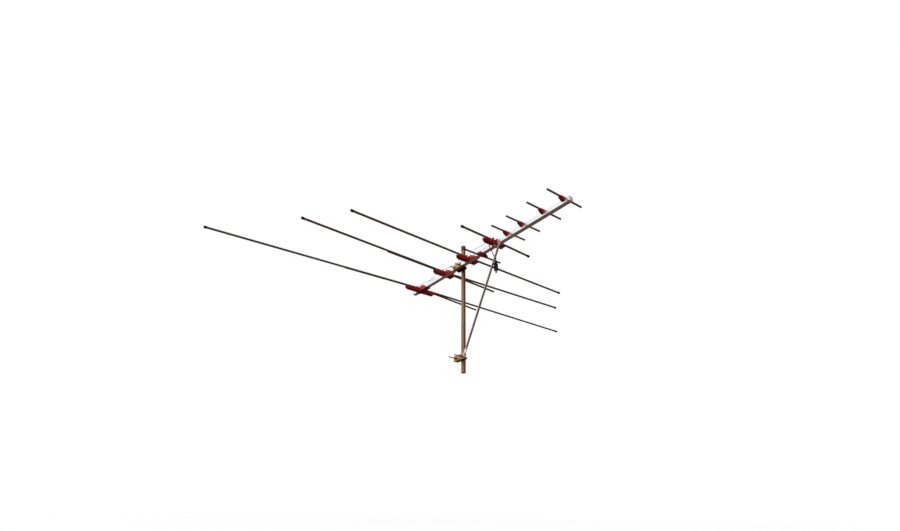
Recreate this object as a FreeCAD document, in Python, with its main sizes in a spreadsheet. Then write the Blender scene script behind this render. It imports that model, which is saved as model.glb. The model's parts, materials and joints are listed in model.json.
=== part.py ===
import FreeCAD, Part
import math
import os
import re
import Sketcher

# Outdoor television antenna: a square boom with split dipoles and directors, clamped to a short mast.
# Frame: millimetres, +Z up, origin on the mast's axis at its foot. The directors point to -Y,
# the elements lie along X, and "left" is -X.

vector = FreeCAD.Vector
doc = FreeCAD.newDocument("outdoor_antenna")
sheet = doc.addObject("Spreadsheet::Sheet", "Sizes")

SIZES = [
    # Mast
    ("mast_diameter", 25.0),
    ("mast_wall", 1.5),
    ("mast_length", 780.0),
    ("cap_wall", 2.0),
    ("cap_grip", 26.0),
    ("cap_top", 2.5),
    ("cap_clearance", 0.15),
    # Boom
    ("boom_side", 25.0),
    ("boom_wall", 1.2),
    ("boom_corner", 1.5),
    ("boom_height", 630.0),
    ("boom_tail", 72.0),
    ("boom_nose", 33.0),
    ("plug_depth", 14.0),
    ("plug_head", 3.0),
    ("plug_clearance", 0.15),
    # Stations along Y, measured from the mast's axis
    ("station_dipole_1", 412.0),
    ("station_dipole_2", 120.0),
    ("station_dipole_3", -112.0),
    ("station_reflector", -217.0),
    ("station_dipole_4", -346.0),
    ("station_director_1", -437.0),
    ("station_director_2", -548.0),
    ("station_director_3", -693.0),
    ("station_director_4", -823.0),
    # Element lengths, from the boom's axis to the tip
    ("half_dipole_1", 1315.0),
    ("half_dipole_2", 938.0),
    ("half_dipole_3", 768.0),
    ("half_dipole_4", 252.0),
    ("half_reflector", 135.0),
    ("half_director", 118.0),
    ("half_companion_1", 525.0),
    ("half_companion_2", 418.0),
    # How far each dipole tube has swung from square, in degrees
    ("swing_1_left", 2.5),
    ("swing_1_right", 0.4),
    ("swing_2_left", 2.9),
    ("swing_2_right", 2.0),
    ("swing_3_left", 2.0),
    ("swing_3_right", 1.0),
    ("swing_4_left", 1.8),
    ("swing_4_right", 3.1),
    # Companion tubes: their screw's place on the arm, and the splay of the right ones in degrees
    ("companion_out", 44.0),
    ("companion_back", 14.0),
    ("companion_splay", 6.0),
    # Element tubes and their tip caps
    ("rod_diameter", 12.0),
    ("rod_wall", 1.0),
    ("rod_inset", 8.0),
    ("director_diameter", 10.0),
    ("rod_clearance", 0.3),
    ("tip_wall", 1.2),
    ("tip_grip", 12.0),
    ("tip_end", 2.0),
    ("tip_clearance", 0.15),
    # Dipole insulators
    ("collar_wall", 4.0),
    ("collar_rear", 28.0),
    ("collar_front", 64.0),
    ("collar_front_long", 88.0),
    ("collar_front_short", 18.0),
    ("collar_clearance", 0.1),
    ("sleeve_slope", 40.0),
    ("sleeve_nose", 6.0),
    ("arm_reach_left", 92.0),
    ("arm_reach_right", 56.0),
    ("arm_reach_rear", 110.0),
    ("arm_front", 12.0),
    ("arm_rear", 18.0),
    ("arm_floor", 3.0),
    ("arm_lip", 5.0),
    ("arm_tip", 3.0),
    ("arm_drop", 15.0),
    ("arm_taper", 14.0),
    ("arm_round", 5.0),
    ("channel_play", 4.0),
    ("terminal_out", 28.0),
    ("screw_ahead", 25.0),
    ("screw_behind", 23.0),
    ("moulding_round", 1.2),
    # Director and reflector clips
    ("clip_reach", 35.0),
    ("clip_length", 18.0),
    ("clip_skirt", 12.5),
    ("clip_skirt_wall", 4.5),
    ("clip_wall", 2.5),
    ("clip_floor", 3.5),
    ("clip_lip", 1.0),
    # Terminal bolts, wing nuts and self-tapping screws
    ("terminal_bolt", 4.8),
    ("terminal_clearance", 0.2),
    ("terminal_head", 9.0),
    ("terminal_head_height", 3.2),
    ("terminal_end", 2.0),
    ("wing_hub", 9.0),
    ("wing_hub_height", 5.0),
    ("wing_span", 22.0),
    ("wing_height", 9.0),
    ("wing_foot", 2.0),
    ("wing_thickness", 2.4),
    ("screw_shank", 3.9),
    ("screw_head", 9.0),
    ("screw_head_height", 2.6),
    ("screw_end", 4.0),
    ("screw_clearance", 0.1),
    # Clamps on the mast
    ("u_bolt_diameter", 6.0),
    ("u_bolt_span", 50.0),
    ("u_bolt_reach", 81.0),
    ("bolt_clearance", 0.4),
    ("nut_across", 10.0),
    ("nut_height", 5.0),
    ("washer_diameter", 12.5),
    ("washer_thickness", 1.5),
    ("mast_gap", 0.3),
    ("channel_length", 72.0),
    ("channel_flange", 18.0),
    ("channel_wall", 2.5),
    ("channel_round", 6.0),
    ("channel_bend", 2.0),
    ("jaw_throat", 11.0),
    ("jaw_length", 64.0),
    ("jaw_height", 36.0),
    ("jaw_depth", 17.5),
    ("saddle_height", 30.0),
    ("saddle_wall", 2.0),
    ("saddle_rear", 42.0),
    ("saddle_front", 64.0),
    ("saddle_lip", 7.0),
    ("saddle_round", 8.0),
    ("saddle_taper", 40.0),
    # Brace
    ("brace_clamp_height", 79.0),
    ("brace_bolt", 6.0),
    ("brace_head_height", 4.0),
    ("brace_bolt_end", 2.0),
    ("foot_bolt_out", 54.0),
    ("foot_bolt_up", 7.0),
    ("strut_diameter", 12.0),
    ("strut_wall", 1.2),
    ("tab_thickness", 3.0),
    ("tab_width", 18.0),
    ("tab_gap", 1.0),
    ("tab_end", 9.0),
    ("foot_tab", 24.0),
    ("top_tab", 26.0),
    ("tab_taper", 16.0),
    # Wiring
    ("phase_wire", 2.5),
    ("wire_rise_low", 9.0),
    ("wire_rise_high", 21.0),
    ("wire_rise_short", 6.0),
    ("lead_diameter", 4.5),
    ("lead_spread", 2.4),
    ("balun_diameter", 22.0),
    ("balun_length", 42.0),
    ("balun_neck", 9.0),
    ("balun_neck_diameter", 12.0),
    ("balun_drop", 99.0),
    ("balun_back", 31.0),
    ("balun_aside", 12.0),
    ("socket_across", 11.0),
    ("socket_flange", 3.0),
    ("socket_thread", 9.5),
    ("socket_length", 10.0),
    ("socket_bore", 2.0),
    ("socket_bore_depth", 7.0),
    # How far a cutter runs past the face it opens
    ("overcut", 1.0),
]
for row, (alias, number) in enumerate(SIZES, start=1):
    sheet.set("A%d" % row, alias.replace("_", " "))
    sheet.set("B%d" % row, str(number))
    sheet.setAlias("B%d" % row, alias)
doc.recompute()

# Places that several pieces share, as formulas of the sheet's sizes
BOOM_X = "(0 - mast_diameter / 2 - jaw_throat - boom_side / 2)"
BOOM_LEFT = "(%s - boom_side / 2)" % BOOM_X
BOOM_REAR = "(station_dipole_1 + boom_tail)"
BOOM_FRONT = "(station_director_4 - boom_nose)"
COLLAR_HALF = "(boom_side / 2 + collar_clearance + collar_wall)"
ARM_TOP = "(arm_floor + arm_lip)"
ROD_LEVEL = "(arm_floor + rod_diameter / 2)"
ROD_TOP = "(arm_floor + rod_diameter)"
CLIP_ROD_LEVEL = "(boom_side / 2 + clip_floor + director_diameter / 2)"
CLIP_TOP = "(%s + clip_lip)" % CLIP_ROD_LEVEL
CLIP_SEAT = "(%s + director_diameter / 2)" % CLIP_ROD_LEVEL
TERMINAL_HOLE = "(terminal_bolt / 2 + terminal_clearance)"
SCREW_HOLE = "(screw_shank / 2 + screw_clearance)"
U_BOLT_HOLE = "(u_bolt_diameter / 2 + bolt_clearance)"
BRACE_HOLE = "(brace_bolt / 2 + bolt_clearance)"
MAST_NOTCH = "((mast_diameter / 2 + mast_gap) * sqrt(2))"
SADDLE_FACE = "(%s + tab_thickness / 2)" % BOOM_X
FOOT_BOLT_Z = "(brace_clamp_height + foot_bolt_up)"
BRACE_TOP_Y = "(station_dipole_4 - collar_front_short - tab_gap - tab_width / 2)"

LEFT, RIGHT = -1, 1
SIDES = ((LEFT, "left"), (RIGHT, "right"))
SAME_PLACE = 0.01

nodes = []


def from_sheet(formula):
    """Turn a formula of plain size names into one that reads the sheet."""
    return re.sub(r"\b([a-z][a-z_0-9]*)\b(?!\()", r"Sizes.\1", str(formula))


def value(formula):
    """Work out a formula of size names as a number."""
    return float(sheet.evalExpression(from_sheet(formula)))


def bind(item, formulas):
    for name, formula in formulas.items():
        item.setExpression(name, from_sheet(formula))
    return item


def place(item, x=0, y=0, z=0, turn=None):
    """Put an item at a formula-driven point, turned by a fixed rotation."""
    item.Placement = FreeCAD.Placement(vector(), turn or FreeCAD.Rotation())
    return bind(item, {"Placement.Base.x": x, "Placement.Base.y": y, "Placement.Base.z": z})


def node(label, item):
    """Keep a finished sub-part under its own name."""
    item.Label = label
    nodes.append(item)
    return item


ALONG = {
    "x": FreeCAD.Rotation(vector(0, 1, 0), 90),
    "-x": FreeCAD.Rotation(vector(0, 1, 0), -90),
    "y": FreeCAD.Rotation(vector(1, 0, 0), -90),
    "z": FreeCAD.Rotation(),
    "-z": FreeCAD.Rotation(vector(1, 0, 0), 180),
}


def cylinder(radius, height, x=0, y=0, z=0, along="z"):
    item = doc.addObject("Part::Cylinder", "cylinder")
    bind(item, {"Radius": radius, "Height": height})
    return place(item, x, y, z, ALONG[along])


def box(length, width, height, x, y, z):
    item = doc.addObject("Part::Box", "box")
    bind(item, {"Length": length, "Width": width, "Height": height})
    return place(item, x, y, z)


def cone(bottom, top, height, x, y, z):
    item = doc.addObject("Part::Cone", "cone")
    bind(item, {"Radius1": bottom, "Radius2": top, "Height": height})
    return place(item, x, y, z)


def hexagon(across, height, x=0, y=0, z=0, along="z"):
    item = doc.addObject("Part::Prism", "hexagon")
    item.Polygon = 6
    bind(item, {"Circumradius": "(%s) / sqrt(3)" % across, "Height": height})
    return place(item, x, y, z, ALONG[along])


def fuse(*items):
    joined = doc.addObject("Part::MultiFuse", "fuse")
    joined.Shapes = list(items)
    joined.Refine = True
    return joined


def cut(base, *tools):
    result = doc.addObject("Part::Cut", "cut")
    result.Base = base
    result.Tool = tools[0] if len(tools) == 1 else fuse(*tools)
    return result


def group(label, items):
    gathered = doc.addObject("Part::Compound", "group")
    gathered.Links = items
    return node(label, gathered)


# Sketch-based pieces
def new_body(label):
    return node(label, doc.addObject("PartDesign::Body", label))


def sketch_on(body, plane):
    sketch = body.newObject("Sketcher::SketchObject", "outline")
    support = [item for item in body.Origin.OriginFeatures if item.Role == plane][0]
    sketch.AttachmentSupport = [(support, "")]
    sketch.MapMode = "FlatFace"
    return sketch


def hold_point(sketch, geometry, position, x, y):
    """Tie one sketch point to formula-driven distances from the sketch's origin."""
    for kind, formula in (("DistanceX", x), ("DistanceY", y)):
        held = Sketcher.Constraint(kind, -1, 1, geometry, position, value(formula))
        index = sketch.addConstraint(held)
        sketch.setExpression("Constraints[%d]" % index, from_sheet(formula))


def polygon(sketch, points):
    """Add a closed outline whose corners are formulas."""
    corners = [vector(value(x), value(y), 0) for x, y in points]
    first = sketch.GeometryCount
    count = len(points)
    for i in range(count):
        sketch.addGeometry(Part.LineSegment(corners[i], corners[(i + 1) % count]), False)
    for i in range(count):
        after = first + (i + 1) % count
        sketch.addConstraint(Sketcher.Constraint("Coincident", first + i, 2, after, 1))
    for i, (x, y) in enumerate(points):
        hold_point(sketch, first + i, 1, x, y)


def circle(sketch, x, y, radius):
    centre = vector(value(x), value(y), 0)
    index = sketch.addGeometry(Part.Circle(centre, vector(0, 0, 1), value(radius)), False)
    hold_point(sketch, index, 3, x, y)
    size = sketch.addConstraint(Sketcher.Constraint("Radius", index, value(radius)))
    sketch.setExpression("Constraints[%d]" % size, from_sheet(radius))


def pad(body, sketch, length, back=None):
    """Raise a sketch to both sides: evenly, or one length ahead and another back."""
    feature = body.newObject("PartDesign::Pad", "pad")
    feature.Profile = sketch
    feature.SideType = "Symmetric" if back is None else "Two sides"
    return bind(feature, {"Length": length} if back is None else {"Length": length, "Length2": back})


def pocket(body, sketch, length=None, one_way=None):
    """Cut a sketch both ways: to a length, or through all. one_way True or False picks one side only."""
    feature = body.newObject("PartDesign::Pocket", "pocket")
    feature.Profile = sketch
    if one_way is None:
        feature.SideType = "Symmetric"
    else:
        feature.Reversed = one_way
    if length is None:
        feature.Type = "ThroughAll"
        return feature
    return bind(feature, {"Length": length})


def round_edges(body, base, radius, wanted):
    """Round the edges of a feature whose middle and direction pass a test."""
    base.recompute(True)
    names = []
    for number, edge in enumerate(base.Shape.Edges, start=1):
        if edge.Curve.TypeId != "Part::GeomLine":
            continue
        direction = edge.tangentAt(edge.FirstParameter)
        if wanted(edge.CenterOfMass, direction):
            names.append("Edge%d" % number)
    feature = body.newObject("PartDesign::Fillet", "round")
    feature.Base = (base, names)
    return bind(feature, {"Radius": radius})


def runs_along(direction, axis):
    return direction.cross(axis).Length < SAME_PLACE


def lies_at(number, wanted):
    return abs(abs(number) - abs(wanted)) < SAME_PLACE


X_AXIS, Y_AXIS, Z_AXIS = vector(1, 0, 0), vector(0, 1, 0), vector(0, 0, 1)


# Mast and its cap
mast_blank = cylinder("mast_diameter / 2", "mast_length")
mast_bore = cylinder("mast_diameter / 2 - mast_wall", "mast_length")
node("mast_tube", cut(mast_blank, mast_bore))
cap_foot = "mast_length - cap_grip"
cap_blank = cylinder("mast_diameter / 2 + cap_clearance + cap_wall", "cap_grip + cap_top", z=cap_foot)
cap_bore = cylinder("mast_diameter / 2 + cap_clearance", "cap_grip", z=cap_foot)
node("mast_cap", cut(cap_blank, cap_bore))

# Boom, drilled for the clamp, the brace's bolt and the screws of insulators and clips
DIPOLES = ("dipole_1", "dipole_2", "dipole_3", "dipole_4")
# Where each insulator's screw enters its sleeve: ahead of the arms, or behind them on the short front one
SCREW_PLACES = {"dipole_1": "0 - screw_ahead", "dipole_2": "0 - screw_ahead", "dipole_3": "0 - screw_ahead",
                "dipole_4": "screw_behind"}
SLEEVE_FRONTS = {"dipole_1": "collar_front_long", "dipole_2": "collar_front", "dipole_3": "collar_front",
                 "dipole_4": "collar_front_short"}
DIRECTORS = ("director_1", "director_2", "director_3", "director_4")


def boom_box(width, height, front, rear):
    """A bar on the boom's axis between two places on Y."""
    length = "(%s) - (%s)" % (rear, front)
    corner_x = "%s - (%s) / 2" % (BOOM_X, width)
    return box(width, length, height, corner_x, front, "boom_height - (%s) / 2" % height)


def rounded_bar(front, rear):
    """The boom's outside between two places on Y, with its four long edges rounded."""
    flat = "boom_side - 2 * boom_corner"
    pieces = [boom_box("boom_side", flat, front, rear), boom_box(flat, "boom_side", front, rear)]
    for across in (LEFT, RIGHT):
        for up in (LEFT, RIGHT):
            pieces.append(cylinder("boom_corner", "(%s) - (%s)" % (rear, front),
                                   "%s + %d * (%s) / 2" % (BOOM_X, across, flat), front,
                                   "boom_height + %d * (%s) / 2" % (up, flat), "y"))
    return fuse(*pieces)


boom_holes = []
for end in (LEFT, RIGHT):
    leg_y = "%d * u_bolt_span / 2" % end
    boom_holes.append(cylinder(U_BOLT_HOLE, "boom_side + 2 * overcut", "%s - overcut" % BOOM_LEFT,
                               leg_y, "boom_height", "x"))
for name in DIPOLES:
    screw_y = "station_%s + %s" % (name, SCREW_PLACES[name])
    boom_holes.append(cylinder(SCREW_HOLE, "boom_side", BOOM_X, screw_y, "boom_height", "-x"))
for name in DIRECTORS:
    boom_holes.append(cylinder(SCREW_HOLE, "boom_side", BOOM_X, "station_" + name, "boom_height"))
boom_holes.append(cylinder(SCREW_HOLE, "boom_side", BOOM_X, "station_reflector", "boom_height", "-z"))
boom_holes.append(cylinder(BRACE_HOLE, "boom_side + 2 * overcut", "%s - overcut" % BOOM_LEFT,
                           BRACE_TOP_Y, "boom_height", "x"))
HOLLOW_SIDE = "boom_side - 2 * boom_wall"
boom_hollow = boom_box(HOLLOW_SIDE, HOLLOW_SIDE, BOOM_FRONT, BOOM_REAR)
node("boom_tube", cut(rounded_bar(BOOM_FRONT, BOOM_REAR), boom_hollow, *boom_holes))

PLUG_SIDE = HOLLOW_SIDE + " - 2 * plug_clearance"
front_head = rounded_bar("%s - plug_head" % BOOM_FRONT, BOOM_FRONT)
front_insert = boom_box(PLUG_SIDE, PLUG_SIDE, BOOM_FRONT, "%s + plug_depth" % BOOM_FRONT)
node("boom_front_plug", fuse(front_head, front_insert))
rear_head = rounded_bar(BOOM_REAR, "%s + plug_head" % BOOM_REAR)
rear_insert = boom_box(PLUG_SIDE, PLUG_SIDE, "%s - plug_depth" % BOOM_REAR, BOOM_REAR)
node("boom_rear_plug", fuse(rear_head, rear_insert))


# Dipole insulators: a long saddle that straddles the boom, closed below on the rearmost dipole, its cheeks
# sloping down to the front, with two deep arms near its rear end that are open towards the front
def insulator(name):
    body = new_body(name + "_insulator")
    inner = "(boom_side / 2 + collar_clearance)"
    reaches = ("arm_reach_left", "arm_reach_right")
    skirt, below = "(0 - boom_side / 2)", "(0 - arm_drop - overcut)"
    if name == "dipole_1":
        reaches = ("arm_reach_rear", "arm_reach_rear")
        skirt, below = "(0 - %s)" % COLLAR_HALF, "(0 - %s)" % inner
    outline = sketch_on(body, "XZ_Plane")
    left, right = [[(reach, ARM_TOP), (reach, "0 - arm_tip"), (reach + " - arm_taper", "0 - arm_drop")]
                   for reach in reaches]
    polygon(outline, right + [("0 - (%s)" % x, z) for x, z in reversed(left)])
    arms = pad(body, outline, "arm_front", "arm_rear")
    tips = [value(reach) for reach in reaches]
    round_edges(body, arms, "arm_round", lambda middle, direction: (
        runs_along(direction, Z_AXIS) and (lies_at(middle.x, tips[0]) or lies_at(middle.x, tips[1]))))
    sleeve = sketch_on(body, "XZ_Plane")
    polygon(sleeve, [(COLLAR_HALF, COLLAR_HALF), (COLLAR_HALF, skirt), ("0 - " + COLLAR_HALF, skirt),
                     ("0 - " + COLLAR_HALF, COLLAR_HALF)])
    block = pad(body, sleeve, SLEEVE_FRONTS[name], "collar_rear")
    half = value(COLLAR_HALF)
    round_edges(body, block, "moulding_round", lambda middle, direction: (
        runs_along(direction, Y_AXIS) and lies_at(middle.x, half) and lies_at(middle.z, half)))
    hollow = sketch_on(body, "XZ_Plane")
    polygon(hollow, [(inner, inner), (inner, below), ("0 - " + inner, below), ("0 - " + inner, inner)])
    pocket(body, hollow)
    channels = sketch_on(body, "XZ_Plane")
    for sign, reach in (("0 - ", reaches[0]), ("", reaches[1])):
        rim = ARM_TOP + " + overcut"
        inside, outside = sign + COLLAR_HALF, sign + "(%s + overcut)" % reach
        polygon(channels, [(inside, "arm_floor"), (outside, "arm_floor"), (outside, rim), (inside, rim)])
    pocket(body, channels, "rod_diameter / 2 + channel_play", one_way=False)
    pocket(body, channels, one_way=True)
    if name != "dipole_4":
        front, start = "0 - " + SLEEVE_FRONTS[name], "sleeve_slope - " + SLEEVE_FRONTS[name]
        ahead, above = front + " - overcut", COLLAR_HALF + " + overcut"
        nose = skirt + " + sleeve_nose"
        slope = sketch_on(body, "YZ_Plane")
        polygon(slope, [(start, COLLAR_HALF), (start, above), (ahead, above), (ahead, nose), (front, nose)])
        pocket(body, slope)
    upright_holes = sketch_on(body, "XY_Plane")
    for sign in ("", "0 - "):
        circle(upright_holes, sign + "terminal_out", "0", TERMINAL_HOLE)
        circle(upright_holes, sign + "companion_out", "companion_back", SCREW_HOLE)
    pocket(body, upright_holes)
    screw = sketch_on(body, "YZ_Plane")
    circle(screw, SCREW_PLACES[name], "0", SCREW_HOLE)
    body.Tip = pocket(body, screw, one_way=False)
    return place(body, BOOM_X, "station_" + name, "boom_height")


for name in DIPOLES:
    insulator(name)


def side_screw(y):
    """A self-tapping screw in the boom's left side, its head on an insulator's sleeve."""
    face = "%s - %s" % (BOOM_X, COLLAR_HALF)
    head = cylinder("screw_head / 2", "screw_head_height", face, y, "boom_height", "-x")
    reach = "collar_clearance + collar_wall + boom_wall + screw_end"
    return fuse(head, cylinder("screw_shank / 2", reach, face, y, "boom_height", "x"))


group("side_screws", [side_screw("station_%s + %s" % (name, SCREW_PLACES[name])) for name in DIPOLES])

# Split dipole tubes, companion tubes and tip caps, each drawn outward along X from its bolt or screw
tip_caps = []


def turned_out(item, side, pivot, swing):
    """Turn an outward-drawn piece to its side of the boom, about its pivot, and swing it from square."""
    out, y, level = pivot
    way, amount = swing
    half_turn = 180 if side == LEFT else 0
    turn = FreeCAD.Rotation(vector(0, 0, way), half_turn + value(amount))
    item.Placement = FreeCAD.Placement(vector(), turn)
    return bind(item, {"Placement.Base.x": "%s + %d * %s" % (BOOM_X, side, out),
                       "Placement.Base.y": y,
                       "Placement.Base.z": "boom_height + " + level,
                       "Placement.Rotation.Angle": "%d + %s" % (half_turn, amount)})


def half_tube(label, side, half, hole, pivot, swing, capped):
    reach = "(%s - %s%s)" % (half, pivot[0], " - tip_end" if capped else "")
    blank = cylinder("rod_diameter / 2", reach + " + rod_inset", "0 - rod_inset", along="x")
    bore = cylinder("rod_diameter / 2 - rod_wall", reach + " + rod_inset", "0 - rod_inset", along="x")
    pivot_hole = cylinder(hole, "2 * rod_diameter", z="0 - rod_diameter")
    node(label, turned_out(cut(blank, bore, pivot_hole), side, pivot, swing))
    if not capped:
        return
    cap_start = "%s - tip_grip" % reach
    grip = "rod_diameter / 2 + tip_clearance"
    cap = cylinder(grip + " + tip_wall", "tip_grip + tip_end", cap_start, along="x")
    cap_hole = cylinder(grip, "tip_grip", cap_start, along="x")
    tip_caps.append(turned_out(cut(cap, cap_hole), side, pivot, swing))


# Which way each tube has swung, seen from above
CLOCKWISE, ANTICLOCKWISE = -1, 1
SWINGS = {
    ("dipole_1", LEFT): (CLOCKWISE, "swing_1_left"),
    ("dipole_1", RIGHT): (ANTICLOCKWISE, "swing_1_right"),
    ("dipole_2", LEFT): (ANTICLOCKWISE, "swing_2_left"),
    ("dipole_2", RIGHT): (CLOCKWISE, "swing_2_right"),
    ("dipole_3", LEFT): (ANTICLOCKWISE, "swing_3_left"),
    ("dipole_3", RIGHT): (ANTICLOCKWISE, "swing_3_right"),
    ("dipole_4", LEFT): (ANTICLOCKWISE, "swing_4_left"),
    ("dipole_4", RIGHT): (ANTICLOCKWISE, "swing_4_right"),
}
COMPANION_SWINGS = {
    ("dipole_1", LEFT): SWINGS["dipole_1", LEFT],
    ("dipole_1", RIGHT): (ANTICLOCKWISE, "swing_1_right + companion_splay"),
    ("dipole_2", LEFT): SWINGS["dipole_2", LEFT],
    ("dipole_2", RIGHT): (ANTICLOCKWISE, "companion_splay - swing_2_right"),
}
COMPANIONS = {"dipole_1": "half_companion_1", "dipole_2": "half_companion_2"}
COMPANION_LEVEL = "(%s + rod_diameter / 2)" % ARM_TOP
for name in DIPOLES:
    for side, word in SIDES:
        pivot = ("terminal_out", "station_" + name, ROD_LEVEL)
        swing = SWINGS[name, side]
        half_tube("%s_rod_%s" % (name, word), side, "half_" + name, TERMINAL_HOLE, pivot, swing, True)
for name, half in COMPANIONS.items():
    for side, word in SIDES:
        pivot = ("companion_out", "station_%s + companion_back" % name, COMPANION_LEVEL)
        swing = COMPANION_SWINGS[name, side]
        half_tube("%s_companion_%s" % (name, word), side, half, SCREW_HOLE, pivot, swing, False)
group("rod_tip_caps", tip_caps)


def upright_screw(x, y, top, reach, up=True):
    """A self-tapping screw along Z: its head's seat at a height, its shank reaching that far in."""
    way, back = ("z", "-z") if up else ("-z", "z")
    head = cylinder("screw_head / 2", "screw_head_height", x, y, top, way)
    return fuse(head, cylinder("screw_shank / 2", reach, x, y, top, back))


companion_screws = []
for name in COMPANIONS:
    for side in (LEFT, RIGHT):
        x = "%s + %d * companion_out" % (BOOM_X, side)
        y = "station_%s + companion_back" % name
        top = "boom_height + %s + rod_diameter" % ARM_TOP
        companion_screws.append(upright_screw(x, y, top, "rod_diameter + screw_end"))
group("companion_screws", companion_screws)

# Terminal bolts from above, through the wire eyes and the tube, with wing nuts under the arms
EYE_STACKS = {"dipole_1": "phase_wire", "dipole_2": "2 * phase_wire", "dipole_3": "2 * phase_wire",
              "dipole_4": "phase_wire + lead_diameter"}
BOLT_LENGTH = "(%s + phase_wire + lead_diameter + arm_drop + wing_hub_height + terminal_end)" % ROD_TOP
WING_TURNS = (25, 160, 70, 110, 40, 95, 140, 10)
bolts = []
wing_nuts = []
for name in DIPOLES:
    for side in (LEFT, RIGHT):
        x = "%s + %d * terminal_out" % (BOOM_X, side)
        y = "station_" + name
        seat = "boom_height + %s + %s" % (ROD_TOP, EYE_STACKS[name])
        head = hexagon("terminal_head", "terminal_head_height", x, y, seat)
        bolts.append(fuse(head, cylinder("terminal_bolt / 2", BOLT_LENGTH, x, y, seat, "-z")))
        hub = cylinder("wing_hub / 2", "wing_hub_height", along="-z")
        wings = box("wing_span", "wing_thickness", "wing_height - wing_foot", "0 - wing_span / 2",
                    "0 - wing_thickness / 2", "0 - wing_height")
        valley = cylinder("wing_hub / 2", "wing_height", z="0 - wing_hub_height", along="-z")
        thread = cylinder(TERMINAL_HOLE, "wing_height", along="-z")
        wing = cut(fuse(hub, wings), valley, thread)
        turn = FreeCAD.Rotation(vector(0, 0, 1), WING_TURNS[len(wing_nuts)])
        place(wing, x, y, "boom_height - arm_drop", turn)
        wing_nuts.append(wing)
group("terminal_bolts", bolts)
group("wing_nuts", wing_nuts)


# Directors on top of the boom, the reflector below it: a through tube in a tapered clip's groove
def clip(label, station, turn):
    body = new_body(label)
    profile = sketch_on(body, "XZ_Plane")
    inner = "boom_side / 2 + collar_clearance"
    skirt = "boom_side / 2 - clip_skirt"
    tip_low = "boom_side / 2 + clip_floor - clip_wall"
    right = [("clip_reach", CLIP_TOP), ("clip_reach", tip_low), (inner + " + clip_skirt_wall", skirt),
             (inner, skirt), (inner, "boom_side / 2")]
    left = [("0 - (%s)" % x, y) for x, y in reversed(right)]
    polygon(profile, right + left)
    block = pad(body, profile, "clip_length")
    top = value(CLIP_TOP)
    round_edges(body, block, "moulding_round", lambda middle, direction: (
        runs_along(direction, X_AXIS) and lies_at(middle.z, top)))
    tube_hole = sketch_on(body, "YZ_Plane")
    circle(tube_hole, "0", CLIP_ROD_LEVEL, "director_diameter / 2 + rod_clearance")
    pocket(body, tube_hole)
    screw_hole = sketch_on(body, "XY_Plane")
    circle(screw_hole, "0", "0", SCREW_HOLE)
    body.Tip = pocket(body, screw_hole)
    return place(body, BOOM_X, station, "boom_height", turn)


def through_tube(label, half, station, level):
    length, start = "2 * " + half, "%s - %s" % (BOOM_X, half)
    blank = cylinder("director_diameter / 2", length, start, station, level, "x")
    bore = cylinder("director_diameter / 2 - rod_wall", length, start, station, level, "x")
    below = "(%s) - director_diameter" % level
    screw_hole = cylinder(SCREW_HOLE, "2 * director_diameter", BOOM_X, station, below)
    node(label, cut(blank, bore, screw_hole))


def clip_screw(station, up):
    seat = "boom_height %s %s" % ("+" if up else "-", CLIP_SEAT)
    reach = "%s - boom_side / 2 + boom_wall + screw_end" % CLIP_SEAT
    return upright_screw(BOOM_X, station, seat, reach, up)


clip_screws = []
for name in DIRECTORS:
    station = "station_" + name
    clip(name + "_clip", station, FreeCAD.Rotation())
    through_tube(name + "_rod", "half_director", station, "boom_height + " + CLIP_ROD_LEVEL)
    clip_screws.append(clip_screw(station, up=True))
clip("reflector_clip", "station_reflector", FreeCAD.Rotation(vector(0, 1, 0), 180))
through_tube("reflector_rod", "half_reflector", "station_reflector", "boom_height - " + CLIP_ROD_LEVEL)
clip_screws.append(clip_screw("station_reflector", up=False))
group("clip_screws", clip_screws)


# Clamp between boom and mast
def leg_holes(body):
    holes = sketch_on(body, "YZ_Plane")
    for sign in ("", "0 - "):
        circle(holes, sign + "u_bolt_span / 2", "0", U_BOLT_HOLE)
    return holes


channel = new_body("boom_clamp_channel")
section = sketch_on(channel, "XZ_Plane")
flange_foot = "(boom_side / 2 + collar_clearance)"
flange_top = "(%s + channel_wall)" % flange_foot
upper = [("0", flange_foot), ("channel_flange", flange_foot), ("channel_flange", flange_top),
         ("0 - channel_wall", flange_top)]
lower = [(x, "0 - " + z) for x, z in reversed(upper)]
polygon(section, upper + lower)
channel_pad = pad(channel, section, "channel_length")
flange_edge = value("channel_flange")
corners = round_edges(channel, channel_pad, "channel_round", lambda middle, direction: (
    runs_along(direction, Z_AXIS) and lies_at(middle.x, flange_edge)))
web_face, bend_level = value("channel_wall"), value(flange_top)
round_edges(channel, corners, "channel_bend", lambda middle, direction: (
    runs_along(direction, Y_AXIS) and lies_at(middle.x, web_face) and lies_at(middle.z, bend_level)))
channel.Tip = pocket(channel, leg_holes(channel), one_way=False)
place(channel, BOOM_LEFT, 0, "boom_height")

jaw = new_body("mast_jaw")
plan = sketch_on(jaw, "XY_Plane")
jaw_back = "(0 - mast_diameter / 2 - jaw_throat)"
jaw_front = "(%s + jaw_depth)" % jaw_back
notch_half = "(%s + %s)" % (jaw_front, MAST_NOTCH)
polygon(plan, [(jaw_back, "0 - jaw_length / 2"), (jaw_front, "0 - jaw_length / 2"),
               (jaw_front, "0 - " + notch_half), ("0 - " + MAST_NOTCH, "0"), (jaw_front, notch_half),
               (jaw_front, "jaw_length / 2"), (jaw_back, "jaw_length / 2")])
pad(jaw, plan, "jaw_height")
jaw.Tip = pocket(jaw, leg_holes(jaw))
place(jaw, 0, 0, "boom_height")


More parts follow.
